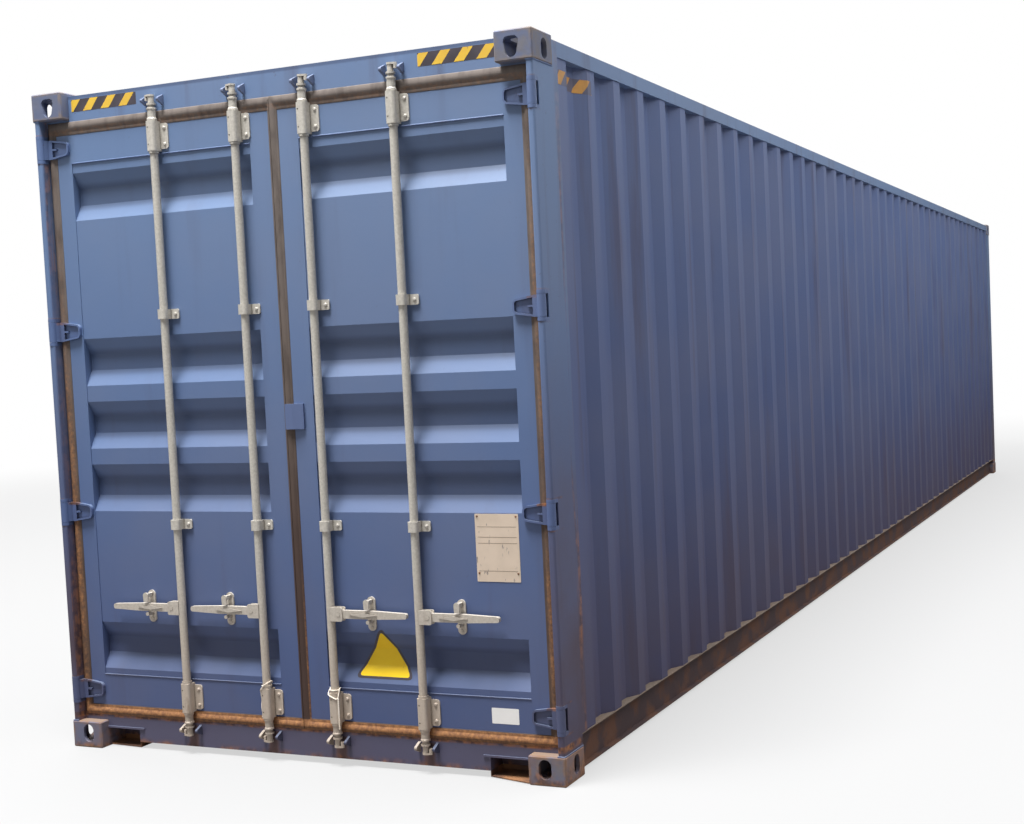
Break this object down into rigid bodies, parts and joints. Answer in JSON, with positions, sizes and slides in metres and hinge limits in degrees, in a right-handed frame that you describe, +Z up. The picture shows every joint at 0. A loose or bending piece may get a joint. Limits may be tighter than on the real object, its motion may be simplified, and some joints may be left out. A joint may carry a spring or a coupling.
{
  "type": "shipping container",
  "caption": "High-cube dry freight container with corrugated steel walls, plywood floor, hinged double doors and turning locking bars at one end.",
  "frame": {"origin": "centre of the footprint, on the plane under the bottom corner fittings", "axes": "+Z up, +Y along the length from the door end to the front end, +X to the right seen from the door end"},
  "size_m": [2.438, 12.192, 2.896],
  "materials": {
    "frame_paint": "weathered satin blue paint",
    "door_paint": "weathered satin blue paint",
    "wall_paint": "weathered satin blue paint, dusty",
    "casting_paint": "worn blue paint over rusty cast steel",
    "underframe_paint": "dark protective coating, rusty",
    "galvanised_steel": "dull hot-dip galvanised",
    "seal_rubber": "aged rubber, rusty along the edges",
    "deck_plywood": "oiled plywood boards"
  },
  "bodies": {
    "frame": {"bottom_rear_left_fitting": "casting_paint", "top_rear_left_fitting": "casting_paint", "bottom_rear_right_fitting": "casting_paint", "top_rear_right_fitting": "casting_paint", "bottom_front_left_fitting": "casting_paint", "top_front_left_fitting": "casting_paint", "bottom_front_right_fitting": "casting_paint", "top_front_right_fitting": "casting_paint", "rear_left_post": "frame_paint", "rear_right_post": "frame_paint", "left_hinge_lugs": "frame_paint", "right_hinge_lugs": "frame_paint", "front_left_post": "frame_paint", "front_right_post": "frame_paint", "door_header": "frame_paint", "door_sill": "frame_paint", "front_top_rail": "frame_paint", "front_sill": "frame_paint", "left_top_side_rail": "frame_paint", "right_top_side_rail": "frame_paint", "left_bottom_side_rail": "underframe_paint", "right_bottom_side_rail": "underframe_paint", "left_side_wall": "wall_paint", "right_side_wall": "wall_paint", "front_wall": "wall_paint", "roof_panel": "wall_paint", "floor_deck": "deck_plywood", "cross_members": "underframe_paint", "left_outriggers": "underframe_paint", "right_outriggers": "underframe_paint", "gooseneck_tunnel": "underframe_paint", "tunnel_side_plates": "underframe_paint", "top_cam_keepers": "frame_paint", "bottom_cam_keepers": "frame_paint", "sill_notch_tops": "frame_paint", "sill_notch_backs": "frame_paint", "sill_corner_tops": "frame_paint"},
    "left_door": {"left_door_frame": "frame_paint", "left_door_panel": "door_paint", "left_door_gasket": "seal_rubber", "left_door_hinges": "frame_paint", "left_bar_brackets": "galvanised_steel", "left_handle_retainers": "galvanised_steel"},
    "right_door": {"right_door_frame": "frame_paint", "right_door_panel": "door_paint", "right_door_gasket": "seal_rubber", "right_door_hinges": "frame_paint", "right_bar_brackets": "galvanised_steel", "right_handle_retainers": "galvanised_steel", "door_overlap_tab": "frame_paint"},
    "left_outer_bar": {"left_outer_locking_bar": "galvanised_steel", "left_outer_handle": "galvanised_steel"},
    "left_inner_bar": {"left_inner_locking_bar": "galvanised_steel", "left_inner_handle": "galvanised_steel"},
    "right_inner_bar": {"right_inner_locking_bar": "galvanised_steel", "right_inner_handle": "galvanised_steel"},
    "right_outer_bar": {"right_outer_locking_bar": "galvanised_steel", "right_outer_handle": "galvanised_steel"}
  },
  "joints": [
    {"name": "left_door_swing", "type": "hinge", "parent": "frame", "child": "left_door", "pos_m": [-1.199, -6.076, 0], "axis": [0, 0, -1], "range_deg": [0, 265]},
    {"name": "right_door_swing", "type": "hinge", "parent": "frame", "child": "right_door", "pos_m": [1.199, -6.076, 0], "axis": [0, 0, 1], "range_deg": [0, 265]},
    {"name": "left_outer_bar_turn", "type": "hinge", "parent": "left_door", "child": "left_outer_bar", "pos_m": [-0.588, -6.069, 0], "axis": [0, 0, -1], "range_deg": [-110, 0]},
    {"name": "left_inner_bar_turn", "type": "hinge", "parent": "left_door", "child": "left_inner_bar", "pos_m": [-0.17, -6.069, 0], "axis": [0, 0, -1], "range_deg": [-110, 0]},
    {"name": "right_inner_bar_turn", "type": "hinge", "parent": "right_door", "child": "right_inner_bar", "pos_m": [0.17, -6.069, 0], "axis": [0, 0, 1], "range_deg": [-110, 0]},
    {"name": "right_outer_bar_turn", "type": "hinge", "parent": "right_door", "child": "right_outer_bar", "pos_m": [0.588, -6.069, 0], "axis": [0, 0, 1], "range_deg": [-110, 0]}
  ]
}
